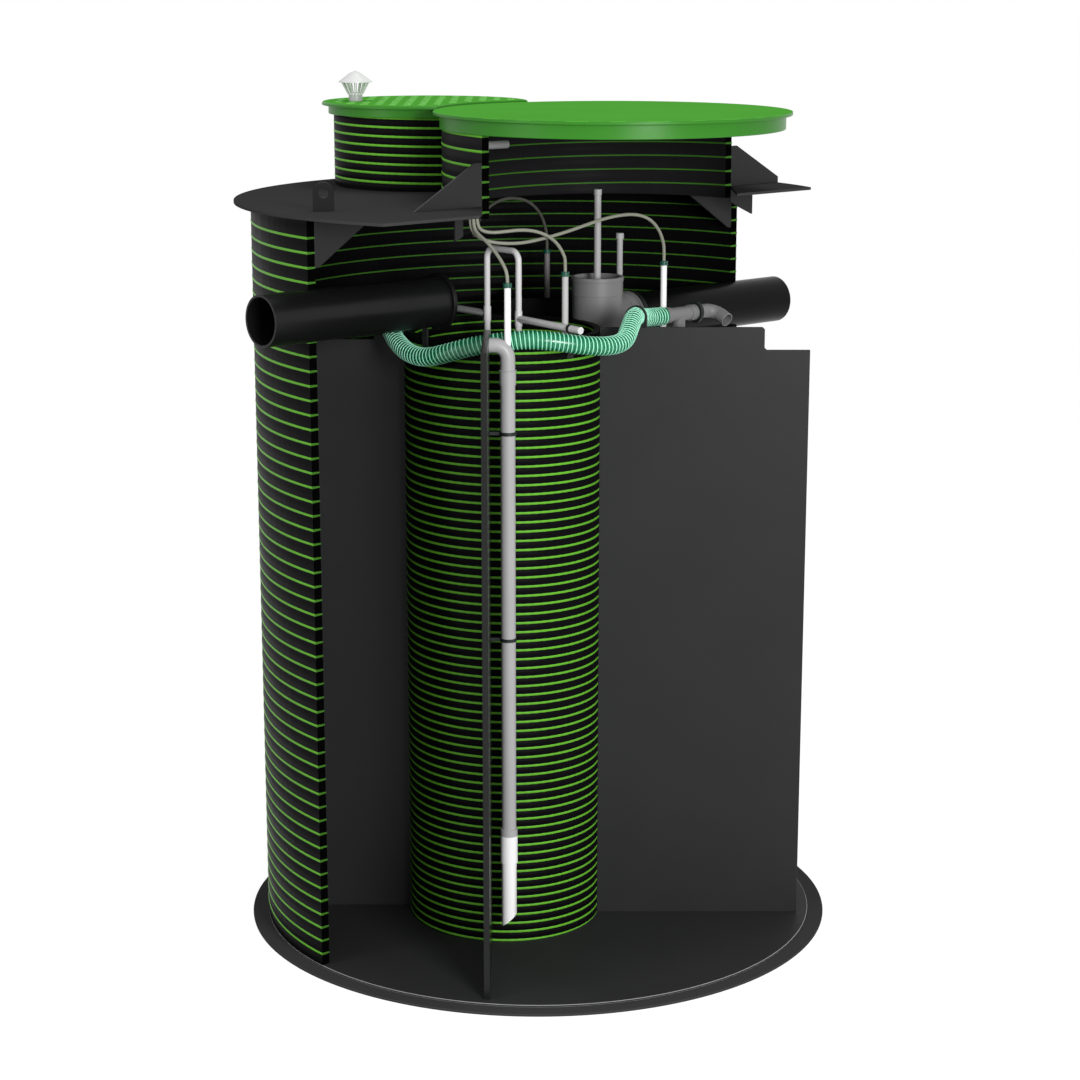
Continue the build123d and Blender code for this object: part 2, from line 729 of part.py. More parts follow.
def airlift():
    """The riser in front: an elbow through the front wall, a socket, a foot and two clips."""
    x, y = RISER_AT
    plate_left = FRONT_X - FRONT_T / 2
    plate_right = FRONT_X + FRONT_T / 2
    route = [(plate_left, y, RISER_TOP), (x, y, RISER_TOP), (x, y, SLEEVE_TOP)]
    riser = pipe_run(route, RISER_D, RISER_WALL, RISER_BEND)
    solid_riser = pipe_run(route, RISER_D, 0, RISER_BEND)
    socket_top = RISER_TOP - RISER_BEND - 38
    ring_in = RISER_D / 2 - 1
    for low, high in ((socket_top - 17, socket_top), (SLEEVE_TOP, SLEEVE_TOP + 25)):
        riser += tube(SLEEVE_R, SLEEVE_R - ring_in, low, high, RISER_AT)
    foot = tube(SLEEVE_R, SLEEVE_R - RISER_D / 2 + RISER_WALL, SLEEVE_BOTTOM, SLEEVE_TOP, RISER_AT)
    tip_r = RISER_D / 2 + 1
    tip = tube(tip_r, RISER_WALL, RISER_TIP, SLEEVE_BOTTOM, RISER_AT)
    lean = degrees(atan2(RISER_TIP_CUT, 2 * tip_r))
    slant = Pos(x - tip_r, y, RISER_TIP) * Rot(0, -lean, 0)
    tip -= slant * Box(BIG, BIG, BIG, align=(Align.CENTER, Align.CENTER, Align.MAX))
    clips = None
    for z in CLIP_ZS:
        clip = tube(RISER_D / 2 + SEAT + STRAP_T, STRAP_T, z, z + STRAP_W, RISER_AT)
        arm_len = x - RISER_D / 2 - SEAT - plate_right
        arm = Pos(plate_right, y, z) * Box(
            arm_len, 8, STRAP_W, align=(Align.MIN, Align.CENTER, Align.MIN)
        )
        clip = clip + arm - upright(RISER_D / 2 + SEAT, 0, BIG, RISER_AT)
        clips = clip if clips is None else clips + clip
    air = upright(AIR_D / 2, RISER_TOP - RISER_BEND, AIR_FRONT_TOP, RISER_AT) - solid_riser
    air = air.solids().sort_by(Axis.Z)[-1]
    return {
        "airlift_riser": riser,
        "airlift_foot": foot + tip,
        "airlift_clips": clips,
        "air_pipe_front": air,
    }


def loop_pipes():
    """The thin pipe that climbs out of the column, loops over and leaves over its rim."""
    left_low = (*LOOP_LEFT, FLOOR_Z)
    right_low = (*LOOP_RIGHT, CROSS_Z - 55)
    route = [left_low, (*LOOP_LEFT, LOOP_TOP), (*LOOP_RIGHT, LOOP_TOP), right_low]
    loop = pipe_run(route, LOOP_D, LOOP_WALL, LOOP_BEND)
    sleeve_r = LOOP_D / 2 + 3
    sleeve_in = LOOP_D / 2 - 1
    sleeves = []
    for at in (LOOP_LEFT, LOOP_RIGHT):
        loop += tube(sleeve_r, sleeve_r - sleeve_in, CROSS_Z - 26, CROSS_Z + 26, at)
        sleeves.append(upright(sleeve_r, 0, BIG, at))
    feed = pipe_run([(*LOOP_LEFT, CROSS_Z), (*CROSS_LEFT, CROSS_Z)], CROSS_D, LOOP_WALL)
    discharge = pipe_run([(*LOOP_RIGHT, CROSS_Z), (*CROSS_RIGHT, CROSS_Z)], CROSS_D)
    return {
        "loop_pipe": loop,
        "feed_pipe": feed - sleeves[0],
        "discharge_pipe": discharge - sleeves[1],
    }


def rim_crossing(start, end):
    """Where a level pipe passes the middle of the column's wall, and which way it runs."""
    reach = COLUMN_R + BRACKET_T / 2
    way = (Vector(*end) - Vector(*start)).normalized()
    off = Vector(*start) - Vector(*COLUMN_AT)
    near = off.dot(way)
    along = -near + sqrt(near ** 2 - off.length ** 2 + reach ** 2)
    point = Vector(*start) + way * along
    return point, way


def strap(point, way, z):
    """A band around a level pipe at one point of it."""
    turn = degrees(atan2(way.Y, way.X))
    band = Cylinder(CROSS_D / 2 + SEAT + STRAP_T, STRAP_W) - Cylinder(CROSS_D / 2 + SEAT, STRAP_W)
    return Pos(point.X, point.Y, z) * Rot(0, 0, turn) * Rot(0, 90, 0) * band


def pipe_brackets():
    """Flat bars on the column that carry the inlet pipe and the two thin pipes."""
    parts = None
    low = COLUMN_TOP - BRACKET_DROP
    pipe_low = INLET_Z - MAIN_PIPE_D / 2
    inlet_turn = CUT_AZ + 180
    spots = [(inlet_turn, low, pipe_low - SEAT)]
    bands = []
    for start, end in ((LOOP_LEFT, CROSS_LEFT), (LOOP_RIGHT, CROSS_RIGHT)):
        point, way = rim_crossing(start, end)
        turn = degrees(atan2(point.Y - COLUMN_AT[1], point.X - COLUMN_AT[0]))
        spots.append((turn, low, CROSS_Z - CROSS_D / 2 - SEAT - 1))
        bands.append(strap(point, way, CROSS_Z))
    for turn, z_low, z_high in spots:
        bar = Pos(COLUMN_R + SEAT + BRACKET_T / 2, 0, z_low) * Box(
            BRACKET_T, BRACKET_W, z_high - z_low, align=(Align.CENTER, Align.CENTER, Align.MIN)
        )
        bar = Pos(*COLUMN_AT, 0) * Rot(0, 0, turn) * bar
        parts = bar if parts is None else parts + bar
    for band in bands:
        parts += band
    return {"pipe_brackets": parts}


def coupling(at, pipe_top):
    return upright(COUPLING_R, pipe_top, pipe_top + COUPLING_H, at)


def air_pipes():
    """The drop pipes that stand on the floor, and the green couplings on their tops."""
    pipes = {}
    couplings = coupling(RISER_AT, AIR_FRONT_TOP)
    for name, at, top in (
        ("air_pipe_middle", AIR_MIDDLE_AT, AIR_MIDDLE_TOP),
        ("air_pipe_right", AIR_RIGHT_AT, AIR_RIGHT_TOP),
        ("air_pipe_back", AIR_BACK_AT, AIR_BACK_TOP),
    ):
        pipes[name] = upright(AIR_D / 2, FLOOR_Z, top, at)
        couplings += coupling(at, top)
    pipes["air_couplings"] = couplings
    return pipes


def air_block():
    """The block under the top plate, against a neck rib, that the air hoses leave from."""
    block = Box(BLOCK_SIDE, BLOCK_SIDE, BLOCK_H, align=(Align.CENTER, Align.MAX, Align.MAX))
    return {"air_block": in_section(Pos(BLOCK_ALONG, -NECK_FRONT, PLATE_Z) * block)}


def along_drain(distance, sideways=0.0, rise=0.0):
    """A point on the drain tee's axis, or beside it towards the front."""
    x = DRAIN_AT[0] + distance * ALONG[0] + sideways * FRONT[0]
    y = DRAIN_AT[1] + distance * ALONG[1] + sideways * FRONT[1]
    return (x, y, DRAIN_Z + rise)


def drain():
    """The tee that the suction hose ends on, its riser, and the elbow that it empties by."""
    socket_r = DRAIN_D / 2 + 3.5
    tee = pipe_run([along_drain(SEAT), along_drain(DRAIN_LEN)], DRAIN_D)
    tee += pipe_run([along_drain(SEAT), along_drain(26)], 2 * socket_r)
    tee += pipe_run([along_drain(DRAIN_LEN - 30), along_drain(DRAIN_LEN)], 2 * socket_r)
    at = along_drain(DRAIN_RISER)[:2]
    tee += upright(DRAIN_RISER_D / 2 + 3, DRAIN_Z - 62, DRAIN_Z, at)
    riser = tube(DRAIN_RISER_D / 2, RISER_WALL, FLOOR_Z, DRAIN_Z - 62, at)
    ring = pipe_run([along_drain(DRAIN_LEN), along_drain(DRAIN_LEN + 13)], 76)
    start = along_drain(DRAIN_LEN + 13)
    corner = along_drain(DRAIN_LEN + 95)
    end = along_drain(DRAIN_LEN + 95, 72, -30)
    elbow = pipe_run([start, corner, end], DRAIN_D, RISER_WALL, 42)
    return {"drain_tee": tee, "drain_riser": riser, "drain_ring": ring, "drain_elbow": elbow}


def return_pipe():
    """The grey elbow and riser behind the column, where the suction hose begins."""
    x, y = RETURN_AT
    route = [return_end(), (x, y, RETURN_Z), (x, y, FLOOR_Z)]
    return {"return_riser": pipe_run(route, RISER_D, RISER_WALL, RISER_BEND)}


def hose_clip():
    """The clip that holds the suction hose on top of the right wall."""
    middle, way = where(suction_route(), 1, RIGHT_Y + WALL_T / 2, 15)
    turn = degrees(atan2(way.Y, way.X)) - 90
    outer = SUCTION_D / 2 + CLIP_GAP + 5
    z_foot = WALL_TOP - middle.Z
    band = Rot(90, 0, 0) * Cylinder(outer, WALL_T)
    band += Box(2 * outer, WALL_T, -z_foot, align=(Align.CENTER, Align.CENTER, Align.MAX))
    band -= Rot(90, 0, 0) * Cylinder(SUCTION_D / 2 + CLIP_GAP, 2 * WALL_T)
    band -= Pos(0, 0, z_foot) * Box(BIG, BIG, BIG, align=(Align.CENTER, Align.CENTER, Align.MAX))
    return {"hose_clip": Pos(middle.X, middle.Y, middle.Z) * Rot(0, 0, turn) * band}


def hoses():
    return {
        "suction_hose": hose(suction_route(), SUCTION_D),
        "air_hose_front": hose(hung(AIR_FRONT_HANG, AIR_FRONT_TOP + COUPLING_H), AIR_HOSE_D),
        "air_hose_middle": hose(hung(AIR_MIDDLE_HANG, AIR_MIDDLE_TOP + COUPLING_H), AIR_HOSE_D),
        "air_hose_right": hose(hung(AIR_RIGHT_HANG, AIR_RIGHT_TOP + COUPLING_H), AIR_HOSE_D),
        "air_hose_back": hose(hung(AIR_BACK_HANG, AIR_BACK_TOP + COUPLING_H), AIR_HOSE_D),
    }


nodes = {}
nodes.update(base_plates())
nodes.update(tank_wall())
nodes.update(top_plate())
nodes["main_neck"] = main_neck()
nodes["small_neck"] = small_neck()
nodes["neck_stub"] = neck_stub()
for make in (
    lids, vent, column, partitions, gussets, lug, inlet, outlet, airlift, loop_pipes,
    pipe_brackets, air_pipes, air_block, drain, return_pipe, hose_clip, hoses,
):
    nodes.update(make())

for name, shape in nodes.items():
    export_step(shape, f"parts/{name}.step")
    print(name, len(shape.solids()), "solids", round(shape.volume / 1e6, 3), "litres")
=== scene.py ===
from math import acos, asin, cos, hypot, pi, radians, sin, sqrt, tan

import bmesh
import bpy
from mathutils import Matrix, Vector


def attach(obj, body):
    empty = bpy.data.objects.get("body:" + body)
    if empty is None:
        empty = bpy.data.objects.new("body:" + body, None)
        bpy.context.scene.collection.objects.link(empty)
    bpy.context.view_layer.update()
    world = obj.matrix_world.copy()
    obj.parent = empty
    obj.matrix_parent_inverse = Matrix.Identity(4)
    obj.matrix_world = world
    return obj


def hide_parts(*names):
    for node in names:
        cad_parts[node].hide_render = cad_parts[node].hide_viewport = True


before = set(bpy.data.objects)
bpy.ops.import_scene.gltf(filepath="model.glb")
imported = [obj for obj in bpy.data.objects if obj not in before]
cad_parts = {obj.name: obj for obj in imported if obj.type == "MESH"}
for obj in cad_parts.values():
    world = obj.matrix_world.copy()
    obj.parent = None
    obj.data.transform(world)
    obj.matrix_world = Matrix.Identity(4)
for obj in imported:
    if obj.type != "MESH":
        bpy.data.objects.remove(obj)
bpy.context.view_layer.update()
scene = bpy.context.scene
scene.view_settings.view_transform = "Standard"


# Camera. It stands in front of the tank at the photograph's distance, a little above the
# lids, and looks slightly down, so that the lids, the plate and the floor all show.
CAMERA_AT = (0.0, -8.6756, 3.4067)
CAMERA_DOWN = 0.2294
CAMERA_ROLL = -0.0008
camera_data = bpy.data.cameras.new("camera")
camera_data.lens = 82.21
camera_data.sensor_width = 36.0
camera_data.clip_end = 100.0
camera = bpy.data.objects.new("camera", camera_data)
camera.location = CAMERA_AT
camera.rotation_euler = (pi / 2 - CAMERA_DOWN, 0.0, CAMERA_ROLL)
scene.collection.objects.link(camera)
scene.camera = camera


# Suction hose. A clear green plastic hose with a stiff pale spiral in its wall, that runs
# from the riser behind the column round its front and over the right wall to the grey tee.
# It is pushed onto both pipe ends and held by a clip on the right wall.
SUCTION_ROUTE = [
    (-0.4396, 0.4272, 2.185),
    (-0.481, 0.372, 2.185),
    (-0.510, 0.270, 2.187),
    (-0.522, 0.160, 2.186),
    (-0.524, 0.050, 2.184),
    (-0.524, -0.075, 2.188),
    (-0.514, -0.170, 2.174),
    (-0.485, -0.258, 2.138),
    (-0.439, -0.340, 2.112),
    (-0.379, -0.402, 2.107),
    (-0.305, -0.450, 2.132),
    (-0.225, -0.477, 2.158),
    (-0.135, -0.490, 2.175),
    (-0.045, -0.493, 2.185),
    (0.050, -0.487, 2.178),
    (0.145, -0.465, 2.160),
    (0.234, -0.420, 2.149),
    (0.295, -0.350, 2.154),
    (0.314, -0.268, 2.190),
    (0.3355, -0.175, 2.224),
    (0.36776, -0.06897, 2.195),
    (0.446, 0.0, 2.195),
]
SUCTION_R = 0.033
RIB_R = 0.0020
RIB_PITCH = 0.0141
HOSE_CLEAR = 0.7


def srgb(red, green, blue):
    """A colour as a picture shows it, 0 to 255, in the shader's own linear values."""
    linear = []
    for value in (red, green, blue):
        value /= 255
        linear.append(value / 12.92 if value < 0.04045 else ((value + 0.055) / 1.055) ** 2.4)
    return (*linear, 1.0)


def plastic(name, colour, roughness=0.4, drift=0.1, grain=90.0, relief=0.0003, ramp=0.08, shine=0.5):
    """Moulded or extruded plastic. Its colour and gloss drift a little over the surface,
    and a fine grain breaks up its highlights."""
    material = bpy.data.materials.new(name)
    material.use_nodes = True
    nodes = material.node_tree.nodes
    link = material.node_tree.links.new
    shader = nodes["Principled BSDF"]
    shader.inputs["Specular IOR Level"].default_value = shine
    place = nodes.new("ShaderNodeTexCoord")
    clouds = nodes.new("ShaderNodeTexNoise")
    clouds.inputs["Scale"].default_value = 4.0
    clouds.inputs["Detail"].default_value = 6.0
    link(place.outputs["Object"], clouds.inputs["Vector"])
    tint = nodes.new("ShaderNodeMix")
    tint.data_type = "RGBA"
    base = Vector(colour[:3])
    tint.inputs["A"].default_value = (*(base * (1 - drift)), 1.0)
    tint.inputs["B"].default_value = (*(base * (1 + drift)), 1.0)
    link(clouds.outputs["Fac"], tint.inputs["Factor"])
    link(tint.outputs["Result"], shader.inputs["Base Color"])
    gloss = nodes.new("ShaderNodeMapRange")
    gloss.inputs["To Min"].default_value = roughness - ramp
    gloss.inputs["To Max"].default_value = roughness + ramp
    link(clouds.outputs["Fac"], gloss.inputs["Value"])
    link(gloss.outputs["Result"], shader.inputs["Roughness"])
    skin = nodes.new("ShaderNodeTexNoise")
    skin.inputs["Scale"].default_value = grain
    skin.inputs["Detail"].default_value = 3.0
    link(place.outputs["Object"], skin.inputs["Vector"])
    bump = nodes.new("ShaderNodeBump")
    bump.inputs["Distance"].default_value = relief
    link(skin.outputs["Fac"], bump.inputs["Height"])
    link(bump.outputs["Normal"], shader.inputs["Normal"])
    return material


def hose_curve(name, route, radius, material):
    """One smooth spline through the route, as thick as the hose."""
    curve = bpy.data.curves.new(name, "CURVE")
    curve.dimensions = "3D"
    curve.bevel_depth = radius
    curve.bevel_resolution = 5
    curve.use_fill_caps = True
    spline = curve.splines.new("NURBS")
    spline.points.add(len(route) - 1)
    for point, place in zip(spline.points, route):
        point.co = (*place, 1.0)
    spline.order_u = 3
    spline.use_endpoint_u = True
    spline.resolution_u = 8
    curve.materials.append(material)
    piece = bpy.data.objects.new(name, curve)
    scene.collection.objects.link(piece)
    return piece


def spline_points(piece):
    """The points along a hose's own spline, read from a copy of it that has no thickness."""
    bare = piece.copy()
    bare.data = piece.data.copy()
    bare.data.bevel_depth = 0.0
    line = bare.to_mesh()
    points = [vertex.co.copy() for vertex in line.vertices]
    bare.to_mesh_clear()
    bpy.data.objects.remove(bare)
    return points


def even_steps(points, step):
    """The places that lie one step apart along a line."""
    places = [points[0]]
    run = 0.0
    due = step
    for here, there in zip(points, points[1:]):
        length = (there - here).length
        while run + length >= due:
            places.append(here.lerp(there, (due - run) / length))
            due += step
        run += length
    return places


def length_of(points):
    """How long a line through these points is."""
    return sum((there - here).length for here, there in zip(points, points[1:]))


hose_wall = plastic("suction hose wall", srgb(8, 128, 84), 0.2, 0.3, 60.0, 0.0004)
hose_wall.node_tree.nodes["Principled BSDF"].inputs["Alpha"].default_value = HOSE_CLEAR
hose_spiral = plastic("suction hose spiral", srgb(178, 255, 222), 0.4, 0.03, 120.0)
suction_hose = hose_curve("suction_hose_wall", SUCTION_ROUTE, SUCTION_R - RIB_R, hose_wall)
suction_line = spline_points(suction_hose)


def spiral(line, radius, pitch, steps=16):
    """Points of a helix round a line, carried along it without twisting."""
    places = even_steps(line, pitch / steps)
    side = Vector((0, 0, 1))
    turned = []
    for index in range(1, len(places) - 1):
        way = (places[index + 1] - places[index - 1]).normalized()
        side = (side - way * side.dot(way)).normalized()
        cross = way.cross(side)
        angle = 2 * pi * index / steps
        turned.append(places[index] + (side * cos(angle) + cross * sin(angle)) * radius)
    return turned


spiral_curve = bpy.data.curves.new("suction_hose_spiral", "CURVE")
spiral_curve.dimensions = "3D"
spiral_curve.bevel_depth = RIB_R
spiral_curve.bevel_resolution = 1
spiral_curve.use_fill_caps = True
winding = spiral_curve.splines.new("POLY")
helix = spiral(suction_line, SUCTION_R - RIB_R, RIB_PITCH)
winding.points.add(len(helix) - 1)
for point, place in zip(winding.points, helix):
    point.co = (*place, 1.0)
spiral_curve.materials.append(hose_spiral)
suction_spiral = bpy.data.objects.new("suction_hose_spiral", spiral_curve)
scene.collection.objects.link(suction_spiral)
for piece in (suction_hose, suction_spiral):
    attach(piece, "root")
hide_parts("suction_hose")


# Air hoses. Four soft beige hoses that leave a block under the top plate and arch over to
# the couplings on the drop pipes, two short ones in front, one to the right, one behind.
AIR_HOSE_R = 0.0058
AIR_ROUTES = {
    "air_hose_front": [
        (-0.2151, -0.4486, 2.586),
        (-0.2151, -0.4486, 2.555),
        (-0.199, -0.462, 2.532),
        (-0.172, -0.483, 2.512),
        (-0.144, -0.507, 2.482),
        (-0.119, -0.531, 2.448),
        (-0.101, -0.550, 2.4122),
        (-0.101, -0.550, 2.381),
    ],
    "air_hose_middle": [
        (-0.2031, -0.438, 2.586),
        (-0.2031, -0.438, 2.562),
        (-0.188, -0.433, 2.540),
        (-0.153, -0.424, 2.533),
        (-0.108, -0.411, 2.536),
        (-0.060, -0.394, 2.540),
        (-0.010, -0.371, 2.534),
        (0.034, -0.344, 2.515),
        (0.068, -0.316, 2.483),
        (0.090, -0.294, 2.440),
        (0.0925, -0.290, 2.420),
        (0.0925, -0.290, 2.387),
    ],
    "air_hose_right": [
        (-0.2257, -0.4366, 2.586),
        (-0.2257, -0.4366, 2.556),
        (-0.212, -0.434, 2.530),
        (-0.187, -0.429, 2.512),
        (-0.150, -0.417, 2.500),
        (-0.104, -0.397, 2.494),
        (-0.054, -0.370, 2.493),
        (0.000, -0.336, 2.500),
        (0.058, -0.297, 2.511),
        (0.116, -0.255, 2.525),
        (0.174, -0.210, 2.541),
        (0.230, -0.165, 2.555),
        (0.284, -0.120, 2.562),
        (0.332, -0.076, 2.561),
        (0.372, -0.036, 2.549),
        (0.404, 0.000, 2.526),
        (0.429, 0.032, 2.490),
        (0.444, 0.054, 2.446),
        (0.446, 0.060, 2.4125),
        (0.446, 0.060, 2.383),
    ],
    "air_hose_back": [
        (-0.2137, -0.426, 2.586),
        (-0.2137, -0.426, 2.5523),
        (-0.214, -0.412, 2.531),
        (-0.214, -0.386, 2.520),
        (-0.214, -0.348, 2.516),
        (-0.213, -0.301, 2.518),
        (-0.212, -0.245, 2.522),
        (-0.211, -0.181, 2.528),
        (-0.208, -0.112, 2.534),
        (-0.204, -0.038, 2.541),
        (-0.196, 0.039, 2.549),
        (-0.185, 0.117, 2.556),
        (-0.172, 0.196, 2.563),
        (-0.155, 0.273, 2.568),
        (-0.136, 0.346, 2.570),
        (-0.113, 0.417, 2.570),
        (-0.088, 0.483, 2.565),
        (-0.061, 0.543, 2.556),
        (-0.035, 0.595, 2.541),
        (-0.012, 0.639, 2.519),
        (0.008, 0.674, 2.490),
        (0.022, 0.699, 2.456),
        (0.031, 0.714, 2.420),
        (0.034, 0.720, 2.3837),
        (0.034, 0.720, 2.350),
    ],
}
air_hose_rubber = plastic("air hose", srgb(140, 141, 128), 0.5, 0.1, 200.0, 0.0002, 0.08, 0.25)
# The back hose takes a darker grey than the others, as painted shade for the shadow it lies in at
# the back of the tank.
shaded_hose_rubber = plastic("shaded air hose", srgb(92, 93, 85), 0.5, 0.1, 200.0, 0.0002, 0.08, 0.2)
for node, route in AIR_ROUTES.items():
    rubber = shaded_hose_rubber if node == "air_hose_back" else air_hose_rubber
    air_hose = hose_curve(node + "_curve", route, AIR_HOSE_R, rubber)
    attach(air_hose, "root")
    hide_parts(node)
    length_of(spline_points(air_hose))


# Wound walls. The tank, the column and both necks are each a black plastic strip wound on
# edge to edge in a rising spiral, welded with a green bead that shows on both faces and
# right through the wall where it is cut.
SEAM_H = 0.0085
SEAM_PROUD = 0.0012
SEAM_INSIDE = 0.66
CUT_AZ = radians(41.4)
TURN_STEPS = 72
PIPE_R = 0.0865


def wound_black(name, at, pitch, phase, grey):
    """Black extruded strip: each turn is slightly crowned between its two welds, and its
    skin has faint drawn lines along the strip."""
    material = plastic(name, srgb(*grey), 0.45, 0.2, 45.0, 0.0003, 0.08, 0.02)
    nodes = material.node_tree.nodes
    link = material.node_tree.links.new
    place = nodes["Texture Coordinate"]
    split = nodes.new("ShaderNodeSeparateXYZ")
    shift = nodes.new("ShaderNodeVectorMath")
    shift.operation = "SUBTRACT"
    shift.inputs[1].default_value = (at[0], at[1], phase)
    link(place.outputs["Object"], shift.inputs[0])
    link(shift.outputs["Vector"], split.inputs["Vector"])
    bearing = nodes.new("ShaderNodeMath")
    bearing.operation = "ARCTAN2"
    link(split.outputs["Y"], bearing.inputs[0])
    link(split.outputs["X"], bearing.inputs[1])
    climb = nodes.new("ShaderNodeMath")
    climb.operation = "MULTIPLY_ADD"
    climb.inputs[1].default_value = pitch / (2 * pi)
    link(bearing.outputs["Value"], climb.inputs[0])
    link(split.outputs["Z"], climb.inputs[2])
    turn = nodes.new("ShaderNodeMath")
    turn.operation = "MULTIPLY"
    turn.inputs[1].default_value = 2 * pi / pitch
    link(climb.outputs["Value"], turn.inputs[0])
    crown = nodes.new("ShaderNodeMath")
    crown.operation = "COSINE"
    link(turn.outputs["Value"], crown.inputs[0])
    crowned = nodes.new("ShaderNodeBump")
    crowned.invert = True
    crowned.inputs["Distance"].default_value = 0.0016
    link(crown.outputs["Value"], crowned.inputs["Height"])
    link(crowned.outputs["Normal"], nodes["Bump"].inputs["Normal"])
    return material


def smooth_copy(node, name, material, angle=35, edge=0.0):
    """The node's own shape with its triangles joined, so that its round faces are smooth,
    and its edges broken by a small round where a width is given."""
    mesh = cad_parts[node].data.copy()
    mesh.name = name
    joined = bmesh.new()
    joined.from_mesh(mesh)
    bmesh.ops.remove_doubles(joined, verts=joined.verts, dist=0.00001)
    bmesh.ops.dissolve_degenerate(joined, edges=joined.edges, dist=0.00001)
    if edge:
        bmesh.ops.dissolve_limit(
            joined, angle_limit=radians(0.5), verts=joined.verts, edges=joined.edges
        )
    joined.to_mesh(mesh)
    joined.free()
    mesh.shade_smooth()
    mesh.set_sharp_from_angle(angle=radians(angle))
    mesh.materials.clear()
    mesh.materials.append(material)
    piece = bpy.data.objects.new(name, mesh)
    scene.collection.objects.link(piece)
    if edge:
        round_edges(piece, edge)
    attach(piece, "root")
    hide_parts(node)
    return piece


def round_edges(piece, width, segments=2):
    """A small round on each edge, as a saw cut is scraped or a moulding comes off its tool."""
    edges = piece.modifiers.new("edges", "BEVEL")
    edges.width = width
    edges.segments = segments
    edges.limit_method = "ANGLE"
    edges.angle_limit = radians(35)
    edges.harden_normals = True


def weld_bead(welds, radius, wall, at, pitch, start, sweep, height, steps):
    """One stretch of the green weld, right through the wall, as it sinks along its turn."""
    half = SEAM_H / 2
    slim = half * SEAM_INSIDE
    inner = radius - wall - SEAM_PROUD
    outer = radius + SEAM_PROUD
    stretch = bmesh.new()
    corners = []
    for reach, level in (
        (inner, -slim * 0.5),
        (inner + SEAM_PROUD, -slim),
        (outer - SEAM_PROUD, -half),
        (outer, -half * 0.5),
        (outer, half * 0.5),
        (outer - SEAM_PROUD, half),
        (inner + SEAM_PROUD, slim),
        (inner, slim * 0.5),
    ):
        corners.append(stretch.verts.new((
            at[0] + reach * cos(start), at[1] + reach * sin(start), height + level
        )))
    end = stretch.faces.new(corners)
    bmesh.ops.spin(
        stretch,
        geom=[end, *end.edges, *end.verts],
        cent=(at[0], at[1], height),
        axis=(0, 0, 1),
        dvec=(0, 0, -pitch * sweep / (2 * pi) / steps),
        angle=sweep,
        steps=steps,
        use_merge=False,
    )
    bmesh.ops.recalc_face_normals(stretch, faces=stretch.faces)
    scratch = bpy.data.meshes.new("stretch")
    stretch.to_mesh(scratch)
    stretch.free()
    welds.from_mesh(scratch)
    bpy.data.meshes.remove(scratch)


def finish_mesh(mesh, name, material, angle=35, nodes=()):
    """A mesh as a piece of the plant, smooth except at its edges."""
    data = bpy.data.meshes.new(name)
    mesh.to_mesh(data)
    mesh.free()
    data.shade_smooth()
    data.set_sharp_from_angle(angle=radians(angle))
    data.materials.append(material)
    piece = bpy.data.objects.new(name, data)
    scene.collection.objects.link(piece)
    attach(piece, "root")
    if nodes:
        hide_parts(*nodes)
    return piece


def turned(outline, at, steps, closed=True):
    """A round shape about an upright axis, from its outline as radius and height."""
    mesh = bmesh.new()
    corners = [mesh.verts.new((at[0] + reach, at[1], level)) for reach, level in outline]
    rim = [mesh.edges.new(pair) for pair in zip(corners, corners[1:])]
    if closed:
        rim.append(mesh.edges.new((corners[-1], corners[0])))
    bmesh.ops.spin(
        mesh, geom=[*corners, *rim], cent=(*at, 0), axis=(0, 0, 1),
        angle=2 * pi, steps=steps, use_merge=True,
    )
    bmesh.ops.remove_doubles(mesh, verts=mesh.verts, dist=0.00001)
    bmesh.ops.recalc_face_normals(mesh, faces=mesh.faces)
    return mesh


def joined_to(mesh, other):
    """Adds one mesh to another and frees it."""
    scratch = bpy.data.meshes.new("joined")
    other.to_mesh(scratch)
    other.free()
    mesh.from_mesh(scratch)
    bpy.data.meshes.remove(scratch)


def behind_pipe(level, pipe_z, radius):
    """How far round the wall a weld stays hidden in the pipe that crosses it."""
    off = abs(level - pipe_z)
    return asin(sqrt(PIPE_R ** 2 - off ** 2) / radius) if off < PIPE_R else 0.0


CUT_WAY = Vector((sin(CUT_AZ), -cos(CUT_AZ), 0))
cut_black = plastic("cut wall", srgb(5, 5, 5), 0.8, 0.3, 120.0, 0.0004, 0.08, 0.0)


def darken_cut(piece, at):
    """The sawn face of a wall in the section is dull and darker than its skin."""
    piece.data.materials.append(cut_black)
    for face in piece.data.polygons:
        if face.normal.dot(CUT_WAY) > 0.999 and abs((face.center - Vector(at)).dot(CUT_WAY)) < 0.002:
            face.material_index = 1


weld_green = plastic("green weld", srgb(101, 176, 49), 0.45, 0.16, 70.0, 0.0004, 0.08, 0.12)
# A darker green for the weld's inner side, as painted shade inside the tank.
shaded_weld = plastic("shaded weld", srgb(62, 114, 35), 0.5, 0.3, 20.0, 0.0004, 0.08, 0.08)


def shade_inside(piece, at, within):
    """The bead is painted a darker, duller green on its inner side, as painted shade inside the
    tank, and on its sawn faces.
    """
    piece.data.materials.append(shaded_weld)
    for face in piece.data.polygons:
        inside = hypot(face.center.x - at[0], face.center.y - at[1]) < within
        if inside or face.normal.dot(CUT_WAY) > 0.999:
            face.material_index = 1


